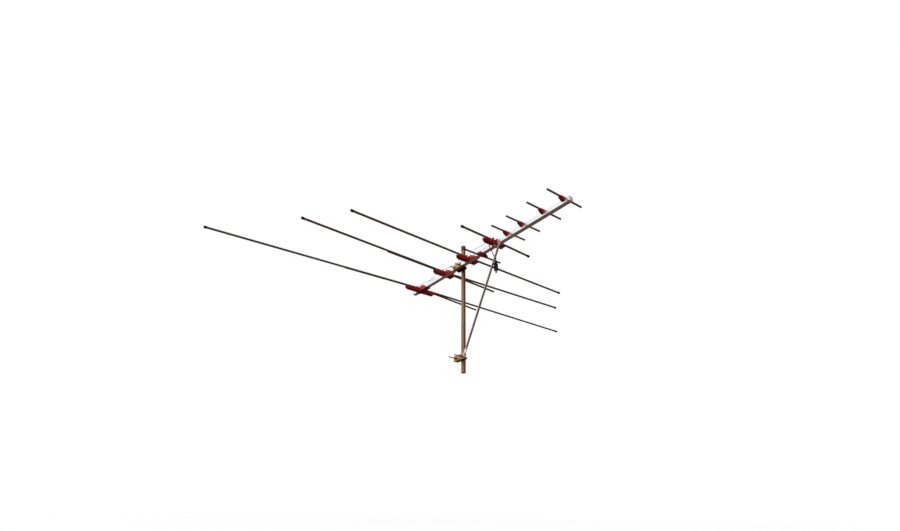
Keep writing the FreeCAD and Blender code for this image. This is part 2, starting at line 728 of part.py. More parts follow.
def u_bolt(label, height):
    """A rod bent round the far side of the mast, with both legs pointing left."""
    rod = value("u_bolt_diameter")
    span = value("u_bolt_span")
    bend_x = value("mast_diameter / 2 + mast_gap") - (span - rod) / 2
    tip = -value("u_bolt_reach")
    rear, front = span / 2, -span / 2
    bow = Part.Arc(vector(bend_x, front, 0), vector(bend_x + span / 2, 0, 0), vector(bend_x, rear, 0))
    front_leg = Part.LineSegment(vector(tip, front, 0), vector(bend_x, front, 0))
    rear_leg = Part.LineSegment(vector(bend_x, rear, 0), vector(tip, rear, 0))
    path = Part.Wire([front_leg.toShape(), bow.toShape(), rear_leg.toShape()])
    ring = Part.Wire(Part.Circle(vector(tip, front, 0), vector(1, 0, 0), rod / 2).toShape())
    item = doc.addObject("Part::Feature", label)
    item.Shape = path.makePipeShell([ring], True, False)
    place(item, 0, 0, height)
    return node(label, item)


u_bolt("boom_u_bolt", "boom_height")
u_bolt("brace_u_bolt", "brace_clamp_height")


def nut(face_x, y, z, along):
    blank = hexagon("nut_across", "nut_height", face_x, y, z, along)
    thread = cylinder("u_bolt_diameter / 2 + terminal_clearance / 2", "nut_height", face_x, y, z, along)
    return cut(blank, thread)


washers = []
clamp_nuts = []
channel_face = "%s - channel_wall" % BOOM_LEFT
for face, height in ((channel_face, "boom_height"), (SADDLE_FACE, "brace_clamp_height")):
    for end in (LEFT, RIGHT):
        leg_y = "%d * u_bolt_span / 2" % end
        washers.append(cut(cylinder("washer_diameter / 2", "washer_thickness", face, leg_y, height, "-x"),
                           cylinder(U_BOLT_HOLE, "washer_thickness", face, leg_y, height, "-x")))
        clamp_nuts.append(nut("%s - washer_thickness" % face, leg_y, height, "-x"))
group("u_bolt_washers", washers)
group("u_bolt_nuts", clamp_nuts)

# Lower clamp: a pressed channel that opens towards the mast and carries the foot of the brace
saddle = new_body("brace_clamp_saddle")
saddle_plan = sketch_on(saddle, "XZ_Plane")
mast_edge = "(0 - saddle_lip)"
back_face = "(%s + saddle_wall)" % SADDLE_FACE
top_half = [(SADDLE_FACE, "saddle_height / 2"), (mast_edge, "saddle_height / 2"),
            (mast_edge, "saddle_height / 2 - saddle_wall"), (back_face, "saddle_height / 2 - saddle_wall")]
bottom_half = [(x, "0 - (%s)" % z) for x, z in reversed(top_half)]
polygon(saddle_plan, top_half + bottom_half)
saddle_pad = pad(saddle, saddle_plan, "saddle_front", "saddle_rear")
lip_edge = value(mast_edge)
round_edges(saddle, saddle_pad, "saddle_round", lambda middle, direction: (
    runs_along(direction, Z_AXIS) and lies_at(middle.x, lip_edge)))
notch = sketch_on(saddle, "XY_Plane")
notch_mouth = "(%s + overcut)" % mast_edge
mouth_half = "(%s + %s)" % (notch_mouth, MAST_NOTCH)
polygon(notch, [("0 - " + MAST_NOTCH, "0"), (notch_mouth, mouth_half), (notch_mouth, "0 - " + mouth_half)])
pocket(saddle, notch)
front_taper = sketch_on(saddle, "XY_Plane")
front_end = "(0 - saddle_front - overcut)"
polygon(front_taper, [(notch_mouth, "saddle_taper - saddle_front"), (back_face, "0 - saddle_front"),
                      (back_face, front_end), (notch_mouth, front_end)])
pocket(saddle, front_taper)
saddle_holes = leg_holes(saddle)
circle(saddle_holes, "0 - foot_bolt_out", "foot_bolt_up", BRACE_HOLE)
saddle.Tip = pocket(saddle, saddle_holes)
place(saddle, 0, 0, "brace_clamp_height")


# Brace strut: a straight tube with both ends pressed flat and drilled, the top end turned upright
def flat_section(centre, across, thin):
    """A pressed end's section: tab_width along one direction, tab_thickness along the other."""
    a = across * (value("tab_width") / 2)
    b = thin * (value("tab_thickness") / 2)
    corners = [centre + a + b, centre - a + b, centre - a - b, centre + a - b]
    return Part.makePolygon(corners + corners[:1])


def round_section(centre, across, thin, radius):
    """A circle in four arcs that match the four sides of a pressed end."""
    angles = [math.radians(angle) for angle in range(45, 406, 45)]
    spots = [centre + across * (radius * math.cos(a)) + thin * (radius * math.sin(a)) for a in angles]
    arcs = [Part.Arc(spots[i], spots[i + 1], spots[i + 2]).toShape() for i in (0, 2, 4, 6)]
    return Part.Wire(arcs)


def brace_strut():
    radius = value("strut_diameter / 2")
    foot = vector(value(BOOM_X), -value("foot_bolt_out"), value(FOOT_BOLT_Z))
    top = vector(value(BOOM_LEFT + " - tab_thickness / 2"), value(BRACE_TOP_Y), value("boom_height"))
    top_flat = top - Z_AXIS * value("top_tab")
    climb = vector(0, top_flat.y - foot.y, top_flat.z - foot.z).normalize()
    across = climb.cross(X_AXIS)
    drill = value("2 * tab_width")
    foot_flat = foot + climb * value("foot_tab")
    foot_round = foot_flat + climb * value("tab_taper")
    top_round = top_flat - climb * value("tab_taper")

    def tube(size):
        ring = Part.Wire(Part.Circle(foot_round, climb, size).toShape())
        return Part.Face(ring).extrude(top_round - foot_round)

    def bolt_hole(centre):
        return Part.makeCylinder(value(BRACE_HOLE), drill, centre - X_AXIS * (drill / 2), X_AXIS)

    foot_taper = Part.makeLoft([flat_section(foot_flat, across, X_AXIS),
                                round_section(foot_round, across, X_AXIS, radius)], True, True)
    foot_face = Part.Face(flat_section(foot - climb * value("tab_end"), across, X_AXIS))
    foot_tab = foot_face.extrude(climb * (value("tab_end") + value("foot_tab"))).cut(bolt_hole(foot))
    top_taper = Part.makeLoft([flat_section(top_flat, Y_AXIS, X_AXIS),
                               round_section(top_round, across, X_AXIS, radius)], True, True)
    top_face = Part.Face(flat_section(top_flat, Y_AXIS, X_AXIS))
    top_tab = top_face.extrude(Z_AXIS * (value("top_tab") + value("tab_end"))).cut(bolt_hole(top))
    item = doc.addObject("Part::Feature", "brace_strut")
    shell = tube(radius).cut(tube(radius - value("strut_wall")))
    item.Shape = shell.multiFuse([foot_taper, foot_tab, top_taper, top_tab]).Solids[0]
    return node("brace_strut", item)


brace_strut()

HEAD_ACROSS = "nut_across"
top_face = "%s - tab_thickness" % BOOM_LEFT
top_head = hexagon(HEAD_ACROSS, "brace_head_height", top_face, BRACE_TOP_Y, "boom_height", "-x")
top_reach = "tab_thickness + boom_side + nut_height + brace_bolt_end"
top_shank = cylinder("brace_bolt / 2", top_reach, top_face, BRACE_TOP_Y, "boom_height", "x")
node("brace_top_bolt", fuse(top_head, top_shank))
foot_face = "%s - tab_thickness" % SADDLE_FACE
foot_y = "0 - foot_bolt_out"
foot_head = hexagon(HEAD_ACROSS, "brace_head_height", foot_face, foot_y, FOOT_BOLT_Z, "-x")
foot_reach = "tab_thickness + saddle_wall + nut_height + brace_bolt_end"
foot_shank = cylinder("brace_bolt / 2", foot_reach, foot_face, foot_y, FOOT_BOLT_Z, "x")
node("brace_foot_bolt", fuse(foot_head, foot_shank))
group("brace_nuts", [nut("%s + boom_side" % BOOM_LEFT, BRACE_TOP_Y, "boom_height", "x"),
                     nut("%s + saddle_wall" % SADDLE_FACE, foot_y, FOOT_BOLT_Z, "x")])


# Wiring
FIRST_EYE = "phase_wire / 2"
SECOND_EYE = "(phase_wire + phase_wire / 2)"
LEAD_EYE = "(phase_wire + lead_diameter / 2)"


def terminal(name, side, rise):
    """The middle of a wire's eye on a terminal bolt, that far above the dipole tube."""
    height = "boom_height + %s + %s" % (ROD_TOP, rise)
    return vector(value("%s + %d * terminal_out" % (BOOM_X, side)), value("station_" + name), value(height))


def eye(centre, diameter):
    inner = value(TERMINAL_HOLE)
    return Part.makeTorus(inner + diameter / 2, diameter / 2, centre, Z_AXIS)


def eye_edge(centre, towards, diameter):
    """Where a wire that heads for another point leaves its eye."""
    heading = vector(towards.x - centre.x, towards.y - centre.y, 0).normalize()
    return centre + heading * (value(TERMINAL_HOLE) + diameter / 2)


def round_wire(path, diameter):
    """A solid wire that follows a path."""
    first = path.Edges[0]
    heading = first.tangentAt(first.FirstParameter)
    ring = Part.Wire(Part.Circle(first.valueAt(first.FirstParameter), heading, diameter / 2).toShape())
    return path.makePipeShell([ring], True, False)


def phase_wire(label, start, end, rise):
    """A stiff wire with an eye at each end, bowed up in one long arc."""
    diameter = value("phase_wire")
    first, last = eye_edge(start, end, diameter), eye_edge(end, start, diameter)
    middle = (first + last) * 0.5 + vector(0, 0, value(rise))
    path = Part.Wire(Part.Arc(first, middle, last).toShape())
    eyes = [eye(start, diameter), eye(end, diameter)]
    item = doc.addObject("Part::Feature", label)
    item.Shape = round_wire(path, diameter).multiFuse(eyes).Solids[0]
    return node(label, item)


CROSSED = (("dipole_1", "dipole_2", FIRST_EYE), ("dipole_2", "dipole_3", SECOND_EYE))
RISES = {LEFT: "wire_rise_low", RIGHT: "wire_rise_high"}
for number, (rear, front, rise) in enumerate(CROSSED, start=1):
    for side, word in SIDES:
        ends = terminal(rear, side, rise), terminal(front, -side, FIRST_EYE)
        phase_wire("phase_wire_%d_%s" % (number, word), *ends, RISES[side])
for side, word in SIDES:
    ends = terminal("dipole_3", side, SECOND_EYE), terminal("dipole_4", side, FIRST_EYE)
    phase_wire("phase_wire_3_" + word, *ends, "wire_rise_short")


# Share of a run that the arc at one of its ends may take
ARC_SHARE = 0.45


def cord_path(points):
    """Straight runs joined by tangent arcs, each as large as its two runs allow."""
    edges = []
    radii = []
    start = points[0]
    for before, at, after in zip(points, points[1:], points[2:]):
        arrive = (at - before).normalize()
        leave = (after - at).normalize()
        half_turn = arrive.getAngle(leave) / 2
        tangent = ARC_SHARE * min((at - before).Length, (after - at).Length)
        radius = tangent / math.tan(half_turn)
        entry, exit_ = at - arrive * tangent, at + leave * tangent
        middle = at + (leave - arrive).normalize() * (radius * (1 / math.cos(half_turn) - 1))
        edges.append(Part.LineSegment(start, entry).toShape())
        edges.append(Part.Arc(entry, middle, exit_).toShape())
        radii.append(radius)
        start = exit_
    edges.append(Part.LineSegment(start, points[-1]).toShape())
    return Part.Wire(edges), radii


# Points of a lead between its eye and the balun: out from the boom's axis, back from the dipole, up,
# and the share of the balun's sideways shift
LEAD_POINTS = ((36, 20, 20, 0.0), (33, 33, 7, 0.0), (24, 38, -14, 0.2), (12, 37, -38, 0.6),
               (6, 34, -66, 0.9))
for side, word in SIDES:
    diameter = value("lead_diameter")
    anchor = vector(value(BOOM_X), value("station_dipole_4"), value("boom_height"))
    aside = value("balun_aside")
    route = [anchor + vector(side * out + share * aside, back, up) for out, back, up, share in LEAD_POINTS]
    centre = terminal("dipole_4", side, LEAD_EYE)
    route.insert(0, eye_edge(centre, route[0], diameter))
    end_x = aside + side * value("lead_spread")
    route.append(anchor + vector(end_x, value("balun_back"), -value("balun_drop")))
    path, radii = cord_path(route)
    lead = round_wire(path, diameter)
    expected = math.pi * (diameter / 2) ** 2 * path.Length
    print("balun lead", word, "length", round(path.Length, 1), "radii", [round(r, 1) for r in radii],
          "volume ratio", round(lead.Volume / expected, 4))
    item = doc.addObject("Part::Feature", "balun_lead_" + word)
    item.Shape = lead.fuse(eye(centre, diameter)).Solids[0]
    node("balun_lead_" + word, item)

# Balun: a sealed case with a tapered neck, and a threaded cable socket below
balun_x = "%s + balun_aside" % BOOM_X
balun_y = "station_dipole_4 + balun_back"
neck_foot = "(boom_height - balun_drop - balun_neck)"
case_foot = "(%s - balun_length)" % neck_foot
case = cylinder("balun_diameter / 2", "balun_length", balun_x, balun_y, case_foot)
neck = cone("balun_diameter / 2", "balun_neck_diameter / 2", "balun_neck", balun_x, balun_y, neck_foot)
node("balun_case", fuse(case, neck))
flange = hexagon("socket_across", "socket_flange", balun_x, balun_y, case_foot, "-z")
barrel = cylinder("socket_thread / 2", "socket_flange + socket_length", balun_x, balun_y, case_foot, "-z")
mouth = "%s - socket_flange - socket_length" % case_foot
socket_hole = cylinder("socket_bore / 2", "socket_bore_depth", balun_x, balun_y, mouth)
node("balun_socket", cut(fuse(flange, barrel), socket_hole))

doc.recompute()
faults = [item.Label for item in doc.Objects if "Invalid" in item.State or "Error" in item.State]
for item in nodes:
    if item.Shape.isNull() or not item.Shape.isValid() or not item.Shape.Solids:
        faults.append(item.Label + " shape")
if faults:
    raise RuntimeError("failed pieces: " + ", ".join(faults))
os.makedirs("parts", exist_ok=True)
for item in nodes:
    item.Shape.exportStep(os.path.join("parts", item.Label + ".step"))
print("pieces", len(nodes), "solids", sum(len(item.Shape.Solids) for item in nodes))
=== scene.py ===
import json
import math

import bpy
from mathutils import Matrix, Vector


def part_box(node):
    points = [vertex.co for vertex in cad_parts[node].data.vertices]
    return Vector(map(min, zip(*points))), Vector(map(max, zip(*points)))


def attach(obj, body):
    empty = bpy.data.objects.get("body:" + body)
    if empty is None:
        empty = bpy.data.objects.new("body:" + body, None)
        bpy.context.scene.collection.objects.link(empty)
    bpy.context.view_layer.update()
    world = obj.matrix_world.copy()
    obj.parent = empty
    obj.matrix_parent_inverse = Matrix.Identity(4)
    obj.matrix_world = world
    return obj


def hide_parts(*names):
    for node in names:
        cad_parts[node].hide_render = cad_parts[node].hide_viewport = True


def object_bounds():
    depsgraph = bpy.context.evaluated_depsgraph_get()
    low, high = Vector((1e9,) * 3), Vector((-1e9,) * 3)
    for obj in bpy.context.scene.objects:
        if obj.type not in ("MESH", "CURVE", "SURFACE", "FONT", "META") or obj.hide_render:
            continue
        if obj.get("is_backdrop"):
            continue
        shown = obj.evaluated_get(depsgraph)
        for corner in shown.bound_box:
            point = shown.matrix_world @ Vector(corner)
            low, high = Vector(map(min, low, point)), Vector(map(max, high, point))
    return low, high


# Outdoor television antenna, in metres: +Z up, elements along X, directors towards -Y
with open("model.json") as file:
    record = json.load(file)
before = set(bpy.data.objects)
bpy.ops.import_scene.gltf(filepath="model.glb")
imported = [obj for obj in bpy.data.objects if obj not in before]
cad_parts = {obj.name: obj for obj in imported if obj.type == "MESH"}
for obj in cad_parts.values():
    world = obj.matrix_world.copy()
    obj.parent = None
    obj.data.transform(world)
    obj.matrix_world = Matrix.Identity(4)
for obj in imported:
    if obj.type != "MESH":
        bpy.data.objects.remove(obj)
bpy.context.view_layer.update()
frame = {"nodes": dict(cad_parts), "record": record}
nodes = frame["nodes"]
record = frame["record"]
scene = bpy.context.scene
MM = 0.001


# Shader maths as plain arithmetic on sockets
class Shade:
    """One output in a node tree. Arithmetic on it adds Math nodes."""

    def __init__(self, owner, socket):
        self.owner = owner
        self.socket = socket

    def math(self, operation, *values):
        return self.owner.node("ShaderNodeMath", {"operation": operation}, dict(enumerate(values)))

    def __add__(self, other):
        return self.math("ADD", self, other)

    def __radd__(self, other):
        return self.math("ADD", other, self)

    def __sub__(self, other):
        return self.math("SUBTRACT", self, other)

    def __rsub__(self, other):
        return self.math("SUBTRACT", other, self)

    def __mul__(self, other):
        return self.math("MULTIPLY", self, other)

    def __rmul__(self, other):
        return self.math("MULTIPLY", other, self)

    def ramp(self, low, high):
        """0 below one value, 1 above another, smooth between them."""
        settings = {"interpolation_type": "SMOOTHSTEP"}
        return self.owner.node("ShaderNodeMapRange", settings, {0: self, 1: low, 2: high})


class Nodes:
    """A node tree that is built up node by node."""

    def __init__(self, tree):
        self.tree = tree

    def node(self, kind, settings=None, sockets=None, out=0):
        made = self.tree.nodes.new(kind)
        for name, setting in (settings or {}).items():
            setattr(made, name, setting)
        for name, given in (sockets or {}).items():
            if isinstance(given, Shade):
                self.tree.links.new(given.socket, made.inputs[name])
            else:
                made.inputs[name].default_value = given
        return Shade(self, made.outputs[out])

    def along(self, vector, axis):
        return self.node("ShaderNodeSeparateXYZ", None, {0: vector}, out=axis)

    def blend(self, amount, first, second):
        """One colour over into another."""
        sockets = {0: amount}
        for index, colour in ((6, first), (7, second)):
            sockets[index] = colour if isinstance(colour, Shade) else (*colour, 1.0)
        return self.node("ShaderNodeMix", {"data_type": "RGBA"}, sockets, out=2)


class Finish(Nodes):
    """A material whose patterns lie on the piece's own coordinates."""

    def __init__(self, name, **fixed):
        self.material = bpy.data.materials.new(name)
        self.material.use_nodes = True
        super().__init__(self.material.node_tree)
        self.shader = self.tree.nodes["Principled BSDF"]
        for socket, number in fixed.items():
            self.shader.inputs[socket.replace("_", " ")].default_value = number
        self.place = self.node("ShaderNodeTexCoord", out="Object")

    def facing_up(self):
        """1 where the surface faces upwards, -1 underneath."""
        return self.along(self.node("ShaderNodeTexCoord", out="Normal"), "Z")

    def stretched(self, x, y, z):
        """The piece's own coordinates, each multiplied by a number."""
        return self.node("ShaderNodeMapping", None, {"Vector": self.place, "Scale": (x, y, z)})

    def noise(self, scale, detail=4.0, rough=0.55, vector=None):
        sockets = {"Vector": vector or self.place, "Scale": scale, "Detail": detail, "Roughness": rough}
        return self.node("ShaderNodeTexNoise", None, sockets)

    def feed(self, **links):
        for socket, shade in links.items():
            self.tree.links.new(shade.socket, self.shader.inputs[socket.replace("_", " ")])

    def relief(self, height, strength, depth):
        sockets = {"Height": height, "Strength": strength, "Distance": depth}
        self.feed(Normal=self.node("ShaderNodeBump", None, sockets))


# Finishes
def red_moulding():
    """Glossy deep red plastic, paler pink and rougher on upward faces, which is a painted highlight."""
    f = Finish("red_moulding", IOR=1.45, Specular_IOR_Level=0.35)
    flow = f.noise(34.0, 5.0, 0.6)
    # Painted highlight: upward faces blend towards pale pink and are made rougher.
    painted_top_highlight = f.facing_up().ramp(0.1, 0.9) * (0.2 + 0.4 * flow)
    colour = f.blend(flow.ramp(0.3, 0.75), (0.21, 0.002, 0.003), (0.33, 0.004, 0.005))
    colour = f.blend(painted_top_highlight, colour, (0.5, 0.06, 0.05))
    dust = f.noise(420.0, 2.0).ramp(0.62, 0.8) * 0.12
    colour = f.blend(dust, colour, (0.36, 0.24, 0.2))
    f.feed(Base_Color=colour, Roughness=0.28 + 0.22 * flow + 0.25 * painted_top_highlight)
    f.relief(f.noise(900.0, 3.0) + 2.0 * f.noise(90.0, 2.0), 0.07, 0.0003)
    return f.material


def drawn_metal(name, deep, pale, stain, lines, rough, tube=None):
    """Bare metal with draw marks along one direction, oxide clouds and small stains.

    Given the two heights between which a strut keeps its round form, its pressed ends are painted near
    white: bare metal with a painted highlight."""
    f = Finish(name, Metallic=1.0)
    marks = f.noise(1.0, 4.0, 0.65, f.stretched(*lines))
    cloud = f.noise(26.0, 5.0, 0.62)
    colour = f.blend(cloud.ramp(0.32, 0.7), deep, pale)
    colour = f.blend(marks.ramp(0.45, 0.8) * 0.35, colour, pale)
    spots = f.noise(160.0, 3.0, 0.7).ramp(0.6, 0.74) * f.noise(11.0).ramp(0.4, 0.62)
    colour = f.blend(spots * 0.7, colour, stain)
    if tube:
        height = f.along(f.place, "Z")
        foot, top = tube
        # Painted highlight: the pressed ends blend towards near white.
        bare_end_highlight = 1.0 - height.ramp(foot, foot + END_HIGHLIGHT_FADE) + height.ramp(top - END_HIGHLIGHT_FADE, top)
        colour = f.blend(bare_end_highlight * (0.75 + 0.25 * cloud), colour, (0.95, 0.94, 0.92))
    f.feed(Base_Color=colour, Roughness=rough + 0.2 * cloud + 0.25 * spots)
    f.relief(marks + 0.5 * spots, 0.08, 0.0002)
    return f.material


def passivated(name, gold, green, pink, rough, lines):
    """Yellow-passivated zinc: a gold film with faint green and pink clouds and paler worn grain."""
    f = Finish(name, Metallic=1.0)
    film = f.noise(60.0, 4.0, 0.6)
    second = f.noise(23.0, 3.0, 0.5, f.stretched(1.0, 1.3, 0.8))
    grain = f.noise(1.0, 4.0, 0.6, f.stretched(*lines))
    colour = f.blend(film.ramp(0.35, 0.7), gold, green)
    colour = f.blend(second.ramp(0.45, 0.75) * 0.7, colour, pink)
    worn = grain.ramp(0.55, 0.8) * 0.3
    colour = f.blend(worn, colour, (0.72, 0.66, 0.54))
    f.feed(Base_Color=colour, Roughness=rough + 0.18 * film + 0.1 * grain)
    f.relief(grain + 0.6 * film, 0.07, 0.0002)
    return f.material


def plain_moulding(name, deep, pale, rough, grain):
    """Moulded plastic with fine surface grain, slight cloudiness and a little dust on top."""
    f = Finish(name, IOR=1.45, Specular_IOR_Level=0.2)
    cloud = f.noise(70.0, 4.0, 0.6)
    fine = f.noise(grain, 2.0, 0.5)
    dust = f.noise(300.0, 3.0).ramp(0.6, 0.8) * f.facing_up().ramp(-0.2, 0.9) * 0.2
    colour = f.blend(cloud.ramp(0.3, 0.72), deep, pale)
    colour = f.blend(dust, colour, (0.35, 0.31, 0.27))
    f.feed(Base_Color=colour, Roughness=rough + 0.15 * cloud + 0.5 * dust)
    f.relief(fine + cloud, 0.1, 0.0003)
    return f.material


# How close the draw marks lie along X, Y and Z, per metre
ROD_LINES = (4.0, 900.0, 900.0)
BOOM_LINES = (700.0, 3.0, 700.0)
MAST_LINES = (600.0, 600.0, 3.0)
FINE_LINES = (160.0, 160.0, 160.0)
# Heights between which the strut is round, and the length over which the painted highlight on its bare ends
# fades
STRUT_TUBE = (0.115, 0.596)
END_HIGHLIGHT_FADE = 0.02
finishes = {
    "red_plastic": red_moulding(),
    "boom_aluminium": drawn_metal("boom_metal", (0.84, 0.85, 0.86), (0.93, 0.95, 0.96),
                                  (0.72, 0.68, 0.64), BOOM_LINES, 0.2),
    "rod_aluminium": drawn_metal("rod_metal", (0.24, 0.225, 0.225), (0.34, 0.32, 0.32),
                                 (0.15, 0.13, 0.12), ROD_LINES, 0.34),
    "mast_steel": passivated("mast_zinc", (0.4, 0.222, 0.11), (0.36, 0.225, 0.12),
                             (0.42, 0.225, 0.145), 0.3, MAST_LINES),
    "gold_steel": passivated("gold_zinc", (0.5, 0.29, 0.09), (0.42, 0.32, 0.12),
                             (0.52, 0.29, 0.16), 0.26, FINE_LINES),
    "screw_steel": passivated("screw_zinc", (0.72, 0.54, 0.28), (0.66, 0.56, 0.34),
                              (0.74, 0.52, 0.4), 0.24, FINE_LINES),
    "plated_steel": drawn_metal("bright_zinc", (0.66, 0.58, 0.48), (0.84, 0.78, 0.7),
                                (0.4, 0.3, 0.2), FINE_LINES, 0.26),
    "wire_aluminium": drawn_metal("wire_metal", (0.55, 0.56, 0.58), (0.74, 0.75, 0.78),
                                  (0.4, 0.38, 0.36), FINE_LINES, 0.3),
    "strut_steel": drawn_metal("strut_metal", (0.56, 0.43, 0.4), (0.72, 0.6, 0.56),
                               (0.36, 0.25, 0.2), MAST_LINES, 0.36, STRUT_TUBE),
    "black_plastic": plain_moulding("black_moulding", (0.006, 0.006, 0.007), (0.014, 0.013, 0.014),
                                    0.42, 900.0),
    "brown_plastic": plain_moulding("brown_moulding", (0.068, 0.043, 0.034), (0.12, 0.082, 0.068),
                                    0.5, 800.0),
    "ivory_plastic": plain_moulding("ivory_moulding", (0.62, 0.55, 0.42), (0.76, 0.7, 0.57), 0.4, 800.0),
    "lead_rubber": plain_moulding("lead_sleeve", (0.006, 0.006, 0.006), (0.014, 0.014, 0.014),
                                  0.5, 1200.0),
}

# Modelling helpers: sizes that they are given are in millimetres, finished pieces in metres
slot_of = {row["node"]: row["material_slot"] for row in record["subparts"]}
body_of = {node: body for body, members in record["behaviour"]["bodies"].items() for node in members}


def pick(piece):
    """Select one piece alone and make it active."""
    bpy.ops.object.select_all(action="DESELECT")
    piece.select_set(True)
    bpy.context.view_layer.objects.active = piece


def edit():
    bpy.ops.object.mode_set(mode="EDIT")
    bpy.ops.mesh.select_all(action="SELECT")


def leave():
    bpy.ops.object.mode_set(mode="OBJECT")


def settle(piece):
    """Put a piece's place and turn into its mesh."""
    pick(piece)
    bpy.ops.object.transform_apply(location=True, rotation=True, scale=True)
    return piece


def apply(piece, kind, **settings):
    """Add one modifier with its settings and apply it."""
    modifier = piece.modifiers.new("step", kind)
    for name, setting in settings.items():
        setattr(modifier, name, setting)
    pick(piece)
    bpy.ops.object.modifier_apply(modifier=modifier.name)
    return piece


def bevel(piece, width, segments=2, angle=30.0):
    return apply(piece, "BEVEL", width=width * MM, segments=segments, limit_method="ANGLE",
                 angle_limit=math.radians(angle))


def carve(piece, tool, operation="DIFFERENCE"):
    """Cut one solid with another, or join them, and drop the tool."""
    apply(piece, "BOOLEAN", operation=operation, solver="EXACT", object=tool)
    bpy.data.objects.remove(tool)
    return piece


def smooth(piece, angle=35.0):
    pick(piece)
    bpy.ops.object.shade_smooth_by_angle(angle=math.radians(angle))
    return piece


def merged(name, node):
    """A copy of a CAD node as one clean mesh: corners merged, flat faces whole."""
    piece = bpy.data.objects.new(name, nodes[node].data.copy())
    scene.collection.objects.link(piece)
    piece.data.materials.clear()
    pick(piece)
    edit()
    bpy.ops.mesh.customdata_custom_splitnormals_clear()
    bpy.ops.mesh.remove_doubles(threshold=0.01 * MM)
    bpy.ops.mesh.dissolve_limited(angle_limit=math.radians(0.5))
    bpy.ops.mesh.normals_make_consistent(inside=False)
    leave()
    return piece


def stand_for(piece, node):
    """Let a finished piece take a CAD node's place, with that node's finish and body."""
    piece.data.materials.clear()
    piece.data.materials.append(finishes[slot_of[node]])
    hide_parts(node)
    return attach(piece, body_of[node])


def softened(node, width, segments=2):
    """A CAD node's own form with its edges eased and its flat faces kept flat in the light."""
    piece = smooth(merged("eased_" + node, node))
    if width:
        smooth(bevel(piece, width, segments))
        apply(piece, "WEIGHTED_NORMAL", keep_sharp=True)
    return stand_for(piece, node)


def solids_of(node):
    """The separate solids of a group as lists of points, from front to rear and left to right."""
    merged("solids", node)
    edit()
    bpy.ops.mesh.separate(type="LOOSE")
    leave()
    found = []
    for part in list(bpy.context.selected_objects):
        found.append([corner.co.copy() for corner in part.data.vertices])
        bpy.data.objects.remove(part)
    return sorted(found, key=lambda spots: tuple(round(number, 4) for number in box_of(spots)[0].yxz))


def box_of(spots):
    low = Vector([min(spot[i] for spot in spots) for i in range(3)])
    high = Vector([max(spot[i] for spot in spots) for i in range(3)])
    return low, high


def middle_of(spots):
    low, high = box_of(spots)
    return (low + high) / 2


def lathe(name, profile, steps=32):
    """Turn a profile of radius and height points round the Z axis."""
    bpy.ops.object.select_all(action="DESELECT")
    bpy.ops.mesh.primitive_plane_add(size=MM)
    piece = bpy.context.object
    piece.name = name
    edit()
    bpy.ops.mesh.merge(type="CENTER")
    bpy.ops.transform.translate(value=(profile[0][0] * MM, 0.0, profile[0][1] * MM))
    for before, after in zip(profile, profile[1:]):
        step = ((after[0] - before[0]) * MM, 0.0, (after[1] - before[1]) * MM)
        bpy.ops.mesh.extrude_region_move(TRANSFORM_OT_translate={"value": step})
    bpy.ops.mesh.select_all(action="SELECT")
    bpy.ops.mesh.spin(steps=steps, angle=2.0 * math.pi, center=(0.0, 0.0, 0.0), axis=(0.0, 0.0, 1.0))
    bpy.ops.mesh.select_all(action="SELECT")
    bpy.ops.mesh.remove_doubles(threshold=0.02 * MM)
    bpy.ops.mesh.normals_make_consistent(inside=False)
    leave()
    return piece


def drum(radius, depth, base=0.0, sides=32):
    """A plain cylinder that stands on a height."""
    bpy.ops.object.select_all(action="DESELECT")
    spot = (0.0, 0.0, (base + depth / 2) * MM)
    bpy.ops.mesh.primitive_cylinder_add(vertices=sides, radius=radius * MM, depth=depth * MM, location=spot)
    return settle(bpy.context.object)


def block(length, width, height, x=0.0, z=0.0):
    """A box round a middle point."""
    bpy.ops.object.select_all(action="DESELECT")
    size = (length, width, height)
    bpy.ops.mesh.primitive_cube_add(size=MM, location=(x * MM, 0.0, z * MM), scale=size)
    return settle(bpy.context.object)


UPRIGHT = Matrix.Identity(3)
DOWNWARD = Matrix.Rotation(math.pi, 3, "X")
TO_LEFT = Matrix.Rotation(-math.pi / 2, 3, "Y")
TO_RIGHT = Matrix.Rotation(math.pi / 2, 3, "Y")


def copies(pattern, node, places, first=1):
    """Set a modelled fastener at each place, given as a point and a turn, and drop the pattern."""
    for number, (point, turn) in enumerate(places, start=first):
        piece = bpy.data.objects.new("%s_%d" % (node, number), pattern.data.copy())
        scene.collection.objects.link(piece)
        piece.matrix_world = Matrix.Translation(point) @ turn.to_4x4()
        stand_for(settle(piece), node)
    bpy.data.objects.remove(pattern)


# Mouldings, tubes and pressed pieces keep their CAD form, with eased edges
for name in nodes:
    if name.endswith("_insulator"):
        softened(name, 1.6, 3)
    elif name.endswith("_clip"):
        softened(name, 1.2, 3)
    elif "_rod_" in name or "_companion_" in name or name.endswith("_rod"):
        softened(name, 0.3)
    elif name.startswith("phase_wire") or name.startswith("balun_lead"):
        softened(name, 0.0)
for name, width in {"mast_tube": 0.4, "boom_tube": 0.25, "boom_front_plug": 0.9, "boom_rear_plug": 0.9,
                    "rod_tip_caps": 1.2, "boom_clamp_channel": 0.7, "mast_jaw": 1.8, "u_bolt_washers": 0.4,
                    "brace_clamp_saddle": 0.6, "brace_strut": 0.5}.items():
    softened(name, width)


# Fasteners
HEAD_RADIUS, HEAD_TALL, SHANK_RADIUS = 4.5, 2.6, 1.9
CROSS_SPAN, CROSS_WIDTH = HEAD_RADIUS * 1.05, 1.1
SCREW_TWIST = 0.7


def pan_screw(length):
    """A pan-head screw whose seat lies at height 0, with a cross recess."""
    piece = drum(HEAD_RADIUS, HEAD_TALL)
    bevel(piece, HEAD_TALL * 0.5, 4, 60.0)
    cross = block(CROSS_SPAN, CROSS_WIDTH, HEAD_TALL, z=HEAD_TALL)
    carve(cross, block(CROSS_WIDTH, CROSS_SPAN, HEAD_TALL, z=HEAD_TALL), "UNION")
    carve(piece, cross)
    carve(piece, drum(SHANK_RADIUS, length, 0.1 - length, 20), "UNION")
    return smooth(piece, 30.0)


